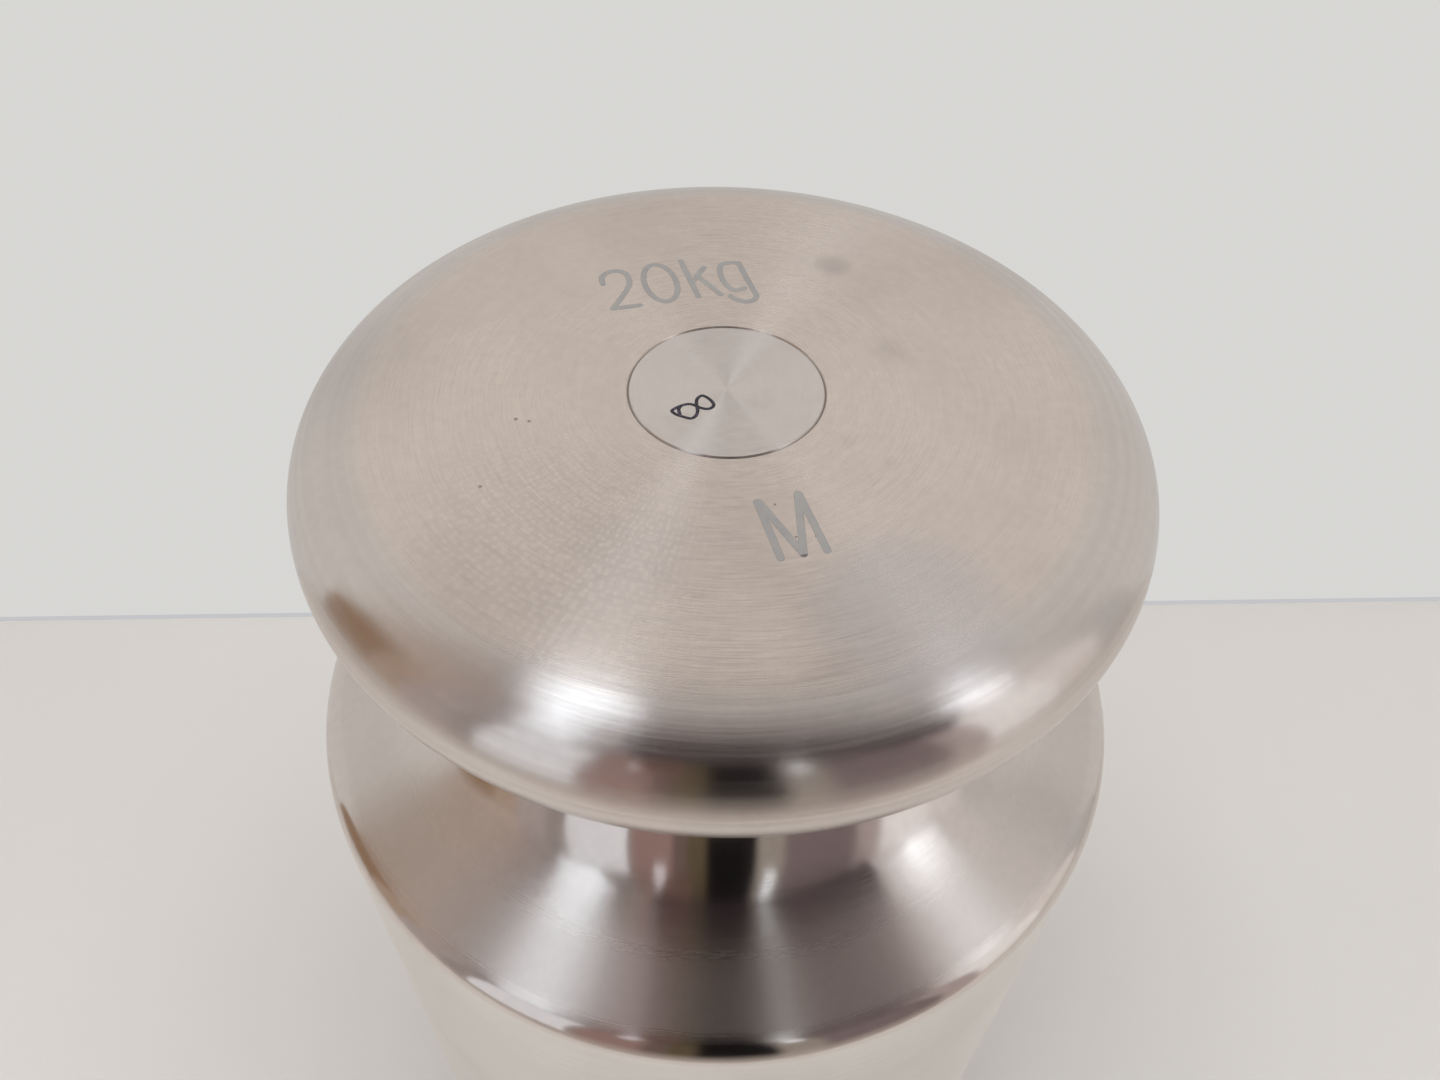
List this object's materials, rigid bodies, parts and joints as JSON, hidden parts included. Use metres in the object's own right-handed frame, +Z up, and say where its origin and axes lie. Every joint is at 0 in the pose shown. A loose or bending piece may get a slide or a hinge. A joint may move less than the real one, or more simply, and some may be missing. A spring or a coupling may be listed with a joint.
{
  "type": "calibration weight",
  "caption": "Cylindrical steel calibration weight with a round lifting knob, a necked finger groove and a flush closing plug.",
  "frame": {"origin": "centre of the base, on the face that the weight stands on", "axes": "+Z up along the turned axis, from the base to the knob's flat top; X and Y lie in the base, and the marks on the knob read from -Y"},
  "size_m": [0.128, 0.128, 0.2263],
  "materials": {
    "turned_steel": "turned and fine brushed in circles",
    "plug_steel": "turned and fine brushed in circles",
    "shot_steel": "bright drawn balls"
  },
  "bodies": {
    "root": {"weight_body": "turned_steel", "closing_plug": "plug_steel", "adjusting_shot": "shot_steel"}
  },
  "joints": []
}
